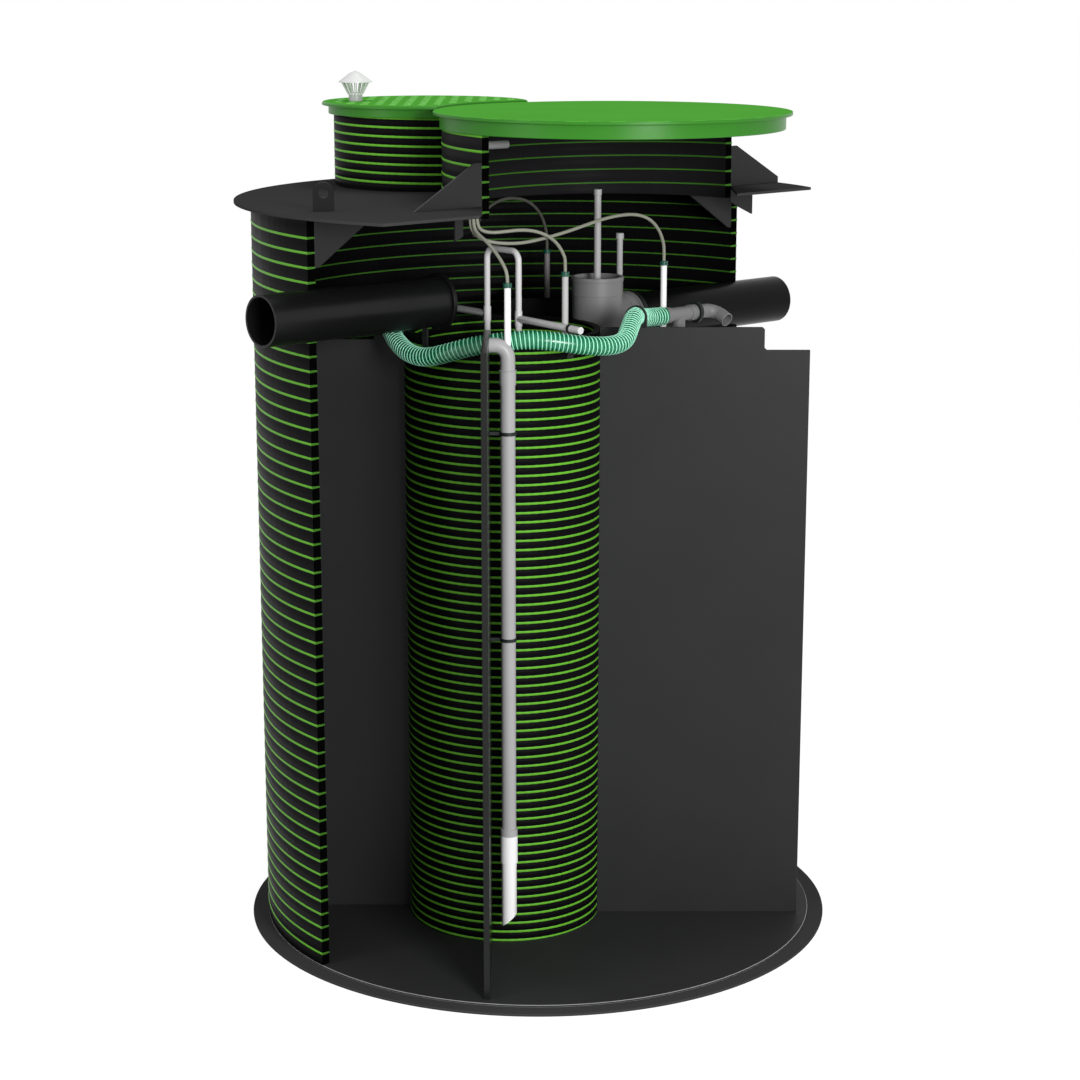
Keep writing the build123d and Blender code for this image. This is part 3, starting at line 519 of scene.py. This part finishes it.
SHELL_R = 1.0
SHELL_T = 0.03
SHELL_PITCH = 0.04866
SHELL_PHASE = -0.009
SHELL_OVERLAP = 0.0007
FLOOR_TOP = 0.017
PLATE_TOP = 2.616
INLET_Z = 2.287
OUTLET_Z = 2.150
shell_black = wound_black("tank wall", (0, 0), SHELL_PITCH, SHELL_PHASE, (14, 13, 15))
darken_cut(smooth_copy("shell_wall", "tank_wall", shell_black), (0, 0, 0))
shell_welds = bmesh.new()
for turn in range(1, 55):
    level = SHELL_PHASE + turn * SHELL_PITCH - SHELL_PITCH * CUT_AZ / (2 * pi)
    first = behind_pipe(level, OUTLET_Z, SHELL_R)
    last = behind_pipe(level - SHELL_PITCH / 2, INLET_Z, SHELL_R)
    level -= SHELL_PITCH * first / (2 * pi)
    if FLOOR_TOP + 0.005 + SHELL_PITCH / 2 < level < PLATE_TOP - 0.016:
        weld_bead(
            shell_welds, SHELL_R, SHELL_T, (0, 0), SHELL_PITCH,
            CUT_AZ + first - SHELL_OVERLAP, pi - first - last + 2 * SHELL_OVERLAP,
            level, TURN_STEPS,
        )
shell_bead = finish_mesh(shell_welds, "tank_wall_welds", weld_green)
shade_inside(shell_bead, (0, 0), SHELL_R - SHELL_T + 0.001)

NECK_X = 0.259
NECK_R = 0.594
NECK_T = 0.03
NECK_FOOT = 2.580
NECK_LAST_WELD = 2.895
NECK_PITCH = 0.0503
NECK_PHASE = 0.012
NECK_OVERLAP = 0.0012
# The neck's strip is given a lighter grey than the tank's, as a painted sheen for the soft
# reflections on the inside of the neck.
neck_sheen_black = wound_black("main neck", (NECK_X, 0), NECK_PITCH, NECK_PHASE, (31, 30, 32))
darken_cut(smooth_copy("main_neck", "main_neck_wall", neck_sheen_black), (NECK_X, 0, 0))
neck_welds = bmesh.new()
for turn in range(50, 60):
    level = NECK_PHASE + turn * NECK_PITCH - NECK_PITCH * CUT_AZ / (2 * pi)
    if NECK_FOOT + NECK_PITCH / 2 < level < NECK_LAST_WELD:
        weld_bead(
            neck_welds, NECK_R, NECK_T, (NECK_X, 0), NECK_PITCH,
            CUT_AZ - NECK_OVERLAP, pi + 2 * NECK_OVERLAP, level, TURN_STEPS,
        )
neck_bead = finish_mesh(neck_welds, "main_neck_welds", weld_green)
shade_inside(neck_bead, (NECK_X, 0), NECK_R - NECK_T + 0.001)

COLUMN_AT = (-0.124, -0.102)
COLUMN_R = 0.344
COLUMN_T = 0.025
COLUMN_IN = COLUMN_R - COLUMN_T
COLUMN_TOP = 2.166
COLUMN_PITCH = 0.03243
COLUMN_PHASE = 0.0135
column_black = wound_black("inner column", COLUMN_AT, COLUMN_PITCH, COLUMN_PHASE, (14, 13, 15))
column_shape = [
    (COLUMN_IN, FLOOR_TOP),
    (COLUMN_R, FLOOR_TOP),
    (COLUMN_R, COLUMN_TOP),
    (COLUMN_IN, COLUMN_TOP),
]
column_wall = turned(column_shape, COLUMN_AT, 144)
finish_mesh(column_wall, "inner_column_wall", column_black, 35, ["inner_column"])
column_welds = bmesh.new()
for turn in range(1, 67):
    weld_bead(
        column_welds, COLUMN_R, COLUMN_T, COLUMN_AT, COLUMN_PITCH, 0.0, 2 * pi,
        COLUMN_PHASE + turn * COLUMN_PITCH, TURN_STEPS,
    )
finish_mesh(column_welds, "inner_column_welds", weld_green)

SMALL_AT = (-0.413, 0.500)
SMALL_R = 0.336
SMALL_T = 0.02
SMALL_LAST_WELD = 2.903
SMALL_TURN_STEPS = 64
SMALL_PITCH = 0.0325
SMALL_PHASE = 0.0045
MEET_R = SMALL_R + 0.0015
LID_CUT_R = 0.6285
LID_CUT_FOOT = 2.87
small_black = wound_black("small neck", SMALL_AT, SMALL_PITCH, SMALL_PHASE, (17, 16, 18))
smooth_copy("small_neck", "small_neck_wall", small_black)
small_welds = bmesh.new()
between = hypot(NECK_X - SMALL_AT[0], SMALL_AT[1])
towards = -asin(SMALL_AT[1] / between)
hidden = acos((MEET_R ** 2 + between ** 2 - (NECK_R + 0.0005) ** 2) / (2 * MEET_R * between))
hidden_by_lid = acos((MEET_R ** 2 + between ** 2 - LID_CUT_R ** 2) / (2 * MEET_R * between))
for turn in range(79, 91):
    level = SMALL_PHASE + turn * SMALL_PITCH
    apart = hidden_by_lid if level > LID_CUT_FOOT else hidden
    start = towards + apart
    level -= SMALL_PITCH * start / (2 * pi)
    drop = SMALL_PITCH * (2 * pi - 2 * apart) / (2 * pi)
    if PLATE_TOP + 0.002 < level - drop and level < SMALL_LAST_WELD:
        weld_bead(
            small_welds, SMALL_R, SMALL_T, SMALL_AT, SMALL_PITCH,
            start, 2 * pi - 2 * apart, level, SMALL_TURN_STEPS,
        )
finish_mesh(small_welds, "small_neck_welds", weld_green)


# Lids. Two green moulded lids lie over the necks, the main one smooth, the small one with a
# raised tread pattern. Each has a rounded rim and a skirt that hangs outside its neck.
LID_SEAT = 2.900
LID_T = 0.012
LID_R = 0.624
SKIRT_IN = 0.596
SKIRT_T = 0.005
SKIRT_H = 0.048
TREAD_PITCH = 0.052
TREAD_LONG = 0.021
TREAD_WIDE = 0.0065
TREAD_HIGH = 0.0022
TREAD_CREST = 0.82
TREAD_REACH = 0.345
MAIN_LID_REACH = 0.655
VENT_FOOT_REACH = 0.055
SMALL_LID_TOP = 2.919
VENT_FOOT = (-0.667, 0.476)
# The lid's green comes in two: the flat top is painted lighter, as painted light where it faces up,
# and the skirt and rim darker, as painted shade.
lid_green = plastic("lid", srgb(54, 127, 36), 0.34, 0.07, 30.0, 0.0004, 0.06, 0.14)
lid_top_lit_green = plastic("sanded lid top with painted light", srgb(88, 174, 64), 0.8, 0.06, 160.0, 0.0006, 0.08, 0.0)
# The tread's raised bars are a lighter green than the lid's top.
tread_lighter_green = plastic("lighter tread", srgb(108, 190, 84), 0.6, 0.1, 60.0, 0.0004, 0.08, 0.1)


def sand_and_light_top(piece):
    """The top of a lid is sanded dull, so that it isn't slippery, and is painted a lighter green
    than the rest of the lid, as painted light on the face turned up to the lamps.
    """
    piece.data.materials.append(lid_top_lit_green)
    for face in piece.data.polygons:
        if face.normal.z > 0.99:
            face.material_index = 1


main_lid = turned(
    [
        (0, LID_SEAT),
        (SKIRT_IN, LID_SEAT),
        (SKIRT_IN, LID_SEAT - SKIRT_H),
        (SKIRT_IN + SKIRT_T, LID_SEAT - SKIRT_H),
        (SKIRT_IN + SKIRT_T, LID_SEAT),
        (LID_R, LID_SEAT),
        (LID_R, LID_SEAT + LID_T),
        (0, LID_SEAT + LID_T),
    ],
    (NECK_X, 0),
    160,
    closed=False,
)
lid_piece = finish_mesh(main_lid, "main_lid_moulding", lid_green, 35, ["main_lid"])
round_edges(lid_piece, 0.0025, 3)
sand_and_light_top(lid_piece)
sand_and_light_top(smooth_copy("small_lid", "small_lid_moulding", lid_green, edge=0.002))
tread = bmesh.new()
rows = range(-7, 8)
for row in rows:
    for place in rows:
        x = SMALL_AT[0] + place * TREAD_PITCH
        y = SMALL_AT[1] + row * TREAD_PITCH
        on_lid = hypot(x - SMALL_AT[0], y - SMALL_AT[1]) < TREAD_REACH
        clear = hypot(x - NECK_X, y) > MAIN_LID_REACH
        beside_vent = hypot(x - VENT_FOOT[0], y - VENT_FOOT[1]) > VENT_FOOT_REACH
        if not (on_lid and clear and beside_vent):
            continue
        lean = pi / 4 if (row + place) % 2 else -pi / 4
        bar = bmesh.ops.create_circle(
            tread, cap_ends=True, segments=8, radius=1.0,
            matrix=Matrix.Translation((x, y, SMALL_LID_TOP - 0.0004)) @ Matrix.Rotation(lean, 4, "Z")
            @ Matrix.Diagonal((TREAD_LONG, TREAD_WIDE, 1.0, 1.0)),
        )
        foot = list({face for corner in bar["verts"] for face in corner.link_faces})
        raised = bmesh.ops.extrude_face_region(tread, geom=foot)["geom"]
        crest = [corner for corner in raised if isinstance(corner, bmesh.types.BMVert)]
        bmesh.ops.translate(tread, verts=crest, vec=(0, 0, TREAD_HIGH))
        bmesh.ops.scale(
            tread, verts=crest, vec=(TREAD_CREST, TREAD_CREST, 1.0),
            space=Matrix.Translation((-x, -y, 0)),
        )
bmesh.ops.recalc_face_normals(tread, faces=tread.faces)
finish_mesh(tread, "small_lid_tread", tread_lighter_green, 25)


# Base and floor. Two dark grey plastic discs, one on the other: the wider one is the tank's
# foot, and the tank stands on the edge of the upper one. Both have rounded rims.
BASE_R = 1.057
BASE_TOP = 0.009
sheet_grey = plastic("dark grey sheet", srgb(43, 43, 44), 0.42, 0.1, 25.0, 0.0004, 0.07, 0.12)
sheet_matt = plastic("matt dark grey sheet", srgb(63, 63, 63), 0.75, 0.1, 25.0, 0.0004, 0.07, 0.0)
floor_grey = plastic("floor sheet", srgb(47, 47, 48), 0.5, 0.1, 25.0, 0.0004, 0.07, 0.04)
edge_highlight_grey = plastic("painted edge highlight", srgb(150, 150, 150), 0.5, 0.1, 60.0, 0.0002, 0.07, 0.1)
base = turned([(0, 0), (BASE_R, 0), (BASE_R, BASE_TOP), (0, BASE_TOP)], (0, 0), 180, closed=False)
base_piece = finish_mesh(base, "base_rim", sheet_matt, 35, ["base_flange"])
round_edges(base_piece, 0.003, 3)
floor_shape = [(0, BASE_TOP), (SHELL_R, BASE_TOP), (SHELL_R, FLOOR_TOP), (0, FLOOR_TOP)]
tank_floor = turned(floor_shape, (0, 0), 180, closed=False)
floor_piece = finish_mesh(tank_floor, "tank_floor", floor_grey, 35, ["floor_disc"])
round_edges(floor_piece, 0.0018, 3)
# The floor disc's rounded rim is painted light grey, a painted highlight for the thin bright line
# along its edge.
floor_piece.data.materials.append(edge_highlight_grey)
floor_piece.modifiers["edges"].material = 1


# Sheet parts. The top plate, the walls between the chambers, the gussets and the lug are
# cut from dark grey plastic sheet, scraped along their edges and welded on.
smooth_copy("top_plate", "top_plate_sheet", sheet_matt, edge=0.0016)
sheet_gloss = plastic("polished dark sheet", srgb(26, 28, 26), 0.24, 0.1, 25.0, 0.0002, 0.05, 0.18)
smooth_copy("front_partition", "front_partition_sheet", sheet_gloss, edge=0.0016)
for node in (
    "left_partition", "right_partition", "shell_gussets", "neck_gussets", "neck_ribs",
    "pipe_brackets",
):
    smooth_copy(node, node + "_sheet", sheet_grey, edge=0.0016)
# The rear and cross partitions are painted near black, as painted shade where they stand in shadow
# inside the tank.
shaded_sheet = plastic("unlit dark sheet", srgb(20, 20, 20), 0.6, 0.1, 25.0, 0.0004, 0.07, 0.03)
for node in ("rear_partition", "cross_partition"):
    smooth_copy(node, node + "_sheet", shaded_sheet, edge=0.0016)
lug_grey = plastic("lug sheet", srgb(34, 34, 35), 0.5, 0.1, 25.0, 0.0004, 0.07, 0.05)
smooth_copy("lifting_lug", "lifting_lug_sheet", lug_grey, edge=0.0016)


# Inlet and outlet. Black extruded pipes that cross the wall in the section, the inlet with
# a blind flange on its end and the outlet with a black ring against the grey tee.
pipe_black = plastic("black pipe", srgb(17, 17, 18), 0.32, 0.12, 35.0, 0.0003, 0.06, 0.2)
smooth_copy("inlet_pipe", "inlet_pipe_extruded", pipe_black, edge=0.001)
outlet_black = plastic("outlet pipe", srgb(12, 12, 13), 0.3, 0.12, 35.0, 0.0003, 0.06, 0.08)
smooth_copy("outlet_pipe", "outlet_pipe_extruded", outlet_black, edge=0.001)
smooth_copy("inlet_flange", "inlet_flange_blind", pipe_black, edge=0.002)
band_black = plastic("black ring", srgb(24, 30, 29), 0.5, 0.1, 60.0, shine=0.3)
for node in ("outlet_collar", "hose_clip", "airlift_clips", "drain_ring"):
    smooth_copy(node, node + "_moulding", band_black, edge=0.0008)


# Grey fittings. The large tee, the tee and elbow at the hose's end, and the block that the
# air hoses leave from, all moulded with sockets that stand out a little.
mid_grey = plastic("mid grey fitting", srgb(121, 121, 121), 0.45, 0.07, 50.0, 0.0003, 0.06, 0.35)
for node in ("outlet_tee", "drain_tee", "drain_elbow", "air_block"):
    smooth_copy(node, node + "_moulding", mid_grey, edge=0.0012)


# Light grey pipes. The air-lift riser, the looped pipe and its two branches, the two rods
# with caps, the riser of the tee and the stub in the neck are extruded pipe in sockets.
light_grey = plastic("light grey pipe", srgb(173, 172, 173), 0.34, 0.05, 60.0, 0.0002, 0.06, 0.3)


def pipe(route, radius, wall, bend, sides=40):
    """A pipe along a route: a ring of its wall, drawn out along each straight run and spun
    round each bend."""
    places = [Vector(place) for place in route]
    way = (places[1] - places[0]).normalized()
    stand = Matrix.Translation(places[0]) @ way.to_track_quat("Z", "Y").to_matrix().to_4x4()
    mesh = bmesh.new()
    bmesh.ops.create_circle(mesh, segments=sides, radius=radius, matrix=stand)
    bmesh.ops.create_circle(mesh, segments=sides, radius=radius - wall, matrix=stand)
    bmesh.ops.bridge_loops(mesh, edges=mesh.edges)
    ring = [*mesh.faces, *mesh.edges, *mesh.verts]
    here = places[0]
    for index, corner in enumerate(places[1:], 1):
        last = index == len(places) - 1
        turn = 0.0 if last else way.angle(places[index + 1] - corner)
        stop = corner - way * (bend * tan(turn / 2))
        ring = bmesh.ops.spin(
            mesh, geom=ring, cent=here, axis=(0, 0, 1), dvec=stop - here, angle=0.0, steps=1,
        )["geom_last"]
        if last:
            break
        after = (places[index + 1] - corner).normalized()
        axle = way.cross(after).normalized()
        ring = bmesh.ops.spin(
            mesh, geom=ring, cent=stop + axle.cross(way) * bend, axis=axle, dvec=(0, 0, 0),
            angle=turn, steps=10,
        )["geom_last"]
        here = corner + after * (bend * tan(turn / 2))
        way = after
    bmesh.ops.recalc_face_normals(mesh, faces=mesh.faces)
    return mesh


def sleeve(at, bore, radius, low, high, lip=0.0):
    """A socket round an upright pipe, with a lip at its top where one is given."""
    outline = [(bore, low), (radius, low), (radius, high - 2 * lip)]
    if lip:
        outline += [(radius + lip, high - 1.6 * lip), (radius + lip, high - 0.4 * lip)]
    outline += [(radius, high), (bore, high)]
    return turned(outline, at, 40)


RISER_AT = (-0.101, -0.550)
RISER_ROUTE = [(-0.182, -0.550, 2.174), (-0.101, -0.550, 2.174), (-0.101, -0.550, 0.455)]
riser = pipe(RISER_ROUTE, 0.025, 0.004, 0.045, 48)
joined_to(riser, sleeve(RISER_AT, 0.024, 0.0275, 2.040, 2.091, 0.002))
joined_to(riser, sleeve(RISER_AT, 0.024, 0.0295, 0.455, 0.480))
finish_mesh(riser, "airlift_riser_pipe", light_grey, 35, ["airlift_riser"])

pale_grey = plastic("pale grey pipe", srgb(222, 220, 221), 0.38, 0.05, 60.0, 0.0002, 0.06, 0.3)
LOOP_LEFT = (-0.180, 0.020)
LOOP_RIGHT = (-0.068, -0.115)
LOOP_TOP = 2.435
LOOP_ROUTE = [
    (*LOOP_LEFT, FLOOR_TOP),
    (*LOOP_LEFT, LOOP_TOP),
    (*LOOP_RIGHT, LOOP_TOP),
    (*LOOP_RIGHT, 2.146),
]
loop = pipe(LOOP_ROUTE, 0.011, 0.003, 0.035, 28)
for at in (LOOP_LEFT, LOOP_RIGHT):
    joined_to(loop, sleeve(at, 0.010, 0.0132, 2.175, 2.227, 0.0008))
finish_mesh(loop, "loop_pipe_bent", pale_grey, 35, ["loop_pipe"])
smooth_copy("discharge_pipe", "discharge_pipe_extruded", pale_grey, edge=0.0006)
smooth_copy("neck_stub", "neck_stub_extruded", mid_grey, edge=0.0006)
for node in ("feed_pipe", "short_pipe", "vent_pipe"):
    smooth_copy(node, node + "_extruded", light_grey, edge=0.0006)

TALL_AT = (0.2134, 0.1881)
TALL_DISC_R = 0.0837
TALL_R = 0.0125
TALL_CAP_R = 0.0145
tall_rod = turned(
    [
        (0, 1.985),
        (TALL_DISC_R, 1.985),
        (TALL_DISC_R, 1.993),
        (TALL_R, 1.993),
        (TALL_R, 2.603),
        (TALL_CAP_R, 2.603),
        (TALL_CAP_R, 2.624),
        (0, 2.624),
    ],
    TALL_AT,
    40,
    closed=False,
)
tall_piece = finish_mesh(tall_rod, "tall_pipe_capped", light_grey, 35, ["tall_pipe"])
round_edges(tall_piece, 0.0012, 3)


# Hidden risers. The pipe behind the column that the suction hose starts from, with its
# bend, and the pipe that carries the grey tee, both standing on the tank's floor.
RETURN_ROUTE = [(-0.4396, 0.4272, 2.185), (-0.400, 0.480, 2.185), (-0.400, 0.480, FLOOR_TOP)]
DRAIN_RISER_ROUTE = [(0.5008, 0.0483, FLOOR_TOP), (0.5008, 0.0483, 2.133)]
return_pipe = pipe(RETURN_ROUTE, 0.025, 0.004, 0.045)
finish_mesh(return_pipe, "return_riser_pipe", mid_grey, 35, ["return_riser"])
drain_pipe = pipe(DRAIN_RISER_ROUTE, 0.020, 0.004, 0.0)
finish_mesh(drain_pipe, "drain_riser_pipe", mid_grey, 35, ["drain_riser"])


# White pipes. The four air pipes with dark green couplings on their tops, the slanted foot
# of the air-lift riser, and the slatted vent cap on the small lid.
white = plastic("white pipe", srgb(252, 252, 252), 0.35, 0.02, 60.0, 0.0002, 0.05, 0.3)
coupling_green = plastic("green coupling", srgb(14, 78, 62), 0.35, 0.1, 90.0)
AIR_PIPE_R = 0.011
AIR_PIPES = {
    "air_pipe_middle": (0.0925, -0.290, 2.371),
    "air_pipe_right": (0.446, 0.060, 2.367),
    "air_pipe_back": (0.034, 0.720, 2.334),
}
# The middle and back air pipes are painted a duller grey than white, as painted shade deeper inside
# the tank, the back one darkest.
SHADED_WHITES = {"air_pipe_middle": (186, 185, 185), "air_pipe_back": (130, 126, 128)}
for node, (x, y, top) in AIR_PIPES.items():
    rod_shape = [(0, FLOOR_TOP), (AIR_PIPE_R, FLOOR_TOP), (AIR_PIPE_R, top), (0, top)]
    rod = turned(rod_shape, (x, y), 32, closed=False)
    rod_white = white
    if node in SHADED_WHITES:
        rod_white = plastic(node + " shaded", srgb(*SHADED_WHITES[node]), 0.4, 0.04, 60.0, 0.0002, 0.05, 0.2)
    finish_mesh(rod, node + "_rod", rod_white, 35, [node])
for node in ("air_pipe_front", "airlift_foot"):
    smooth_copy(node, node + "_white", white, edge=0.0006)
vent_white = plastic("vent cap", srgb(216, 217, 216), 0.4, 0.03, 60.0, 0.0002, 0.05, 0.4)
smooth_copy("vent_cowl", "vent_cowl_moulding", vent_white, 20)
couplings = bmesh.new()
for x, y, low in ((-0.101, -0.550, 2.365), *AIR_PIPES.values()):
    nut_shape = [
        (0, low),
        (0.0136, low),
        (0.0145, low + 0.0012),
        (0.0145, low + 0.0060),
        (0.0136, low + 0.0068),
        (0.0136, low + 0.0082),
        (0.0145, low + 0.0090),
        (0.0145, low + 0.0140),
        (0.0132, low + 0.0160),
        (0, low + 0.0160),
    ]
    joined_to(couplings, turned(nut_shape, (x, y), 32, closed=False))
finish_mesh(couplings, "air_couplings_nuts", coupling_green, 30, ["air_couplings"])


# Floor and light. A plain pale floor runs into a white background, both seen as white, and
# soft lamps stand to the front right, to the left and above. A faint shadow is left.
STAGE_R = 14.0
FLOOR_GLOW = 0.9
BACKDROP_SEEN = 1.0
BACKDROP_LIT = 0.5
floor_mesh = bmesh.new()
bmesh.ops.create_circle(floor_mesh, cap_ends=True, segments=96, radius=STAGE_R)
floor_data = bpy.data.meshes.new("floor")
floor_mesh.to_mesh(floor_data)
floor_mesh.free()
floor = bpy.data.objects.new("floor", floor_data)
floor.location = (0, 0, -0.0005)
scene.collection.objects.link(floor)


def seen_white(tree, strength, lit):
    """A strength for rays that see the background, in the view or in a gloss, and another
    for the light that it sheds."""
    rays = tree.nodes.new("ShaderNodeLightPath")
    either = tree.nodes.new("ShaderNodeMath")
    either.operation = "MAXIMUM"
    tree.links.new(rays.outputs["Is Camera Ray"], either.inputs[0])
    tree.links.new(rays.outputs["Is Glossy Ray"], either.inputs[1])
    any_view = tree.nodes.new("ShaderNodeMath")
    any_view.operation = "MAXIMUM"
    tree.links.new(either.outputs["Value"], any_view.inputs[0])
    tree.links.new(rays.outputs["Is Transmission Ray"], any_view.inputs[1])
    choice = tree.nodes.new("ShaderNodeMapRange")
    choice.inputs["To Min"].default_value = lit
    choice.inputs["To Max"].default_value = strength
    tree.links.new(any_view.outputs["Value"], choice.inputs["Value"])
    return choice.outputs["Result"]


floor_paint = bpy.data.materials.new("pale floor")
floor_paint.use_nodes = True
floor_shader = floor_paint.node_tree.nodes["Principled BSDF"]
floor_shader.inputs["Base Color"].default_value = (0.22, 0.22, 0.22, 1)
floor_shader.inputs["Roughness"].default_value = 1.0
floor_shader.inputs["Specular IOR Level"].default_value = 0.0
floor_shader.inputs["Emission Color"].default_value = (1, 1, 1, 1)
floor_paint.node_tree.links.new(
    seen_white(floor_paint.node_tree, FLOOR_GLOW, 0.0), floor_shader.inputs["Emission Strength"]
)
floor_data.materials.append(floor_paint)

world = bpy.data.worlds.new("studio")
world.use_nodes = True
backdrop = world.node_tree.nodes["Background"]
backdrop.inputs["Color"].default_value = (1, 1, 1, 1)
seen = seen_white(world.node_tree, BACKDROP_SEEN, BACKDROP_LIT)
world.node_tree.links.new(seen, backdrop.inputs["Strength"])
scene.world = world


def lamp(name, place, aim, size, power):
    """A round soft lamp that points at a place on the tank."""
    data = bpy.data.lights.new(name, "AREA")
    data.shape = "DISK"
    data.size = size
    data.energy = power
    light = bpy.data.objects.new(name, data)
    light.location = place
    light.rotation_euler = (Vector(aim) - Vector(place)).to_track_quat("-Z", "Y").to_euler()
    scene.collection.objects.link(light)


lamp("key", (3.0, -7.5, 3.3), (0, 0, 1.5), 2.5, 510)
lamp("fill", (-6.0, -4.0, 3.5), (0, 0, 1.4), 3.0, 110)
lamp("top", (0.5, 0.5, 7.5), (0, 0, 2.5), 2.5, 65)
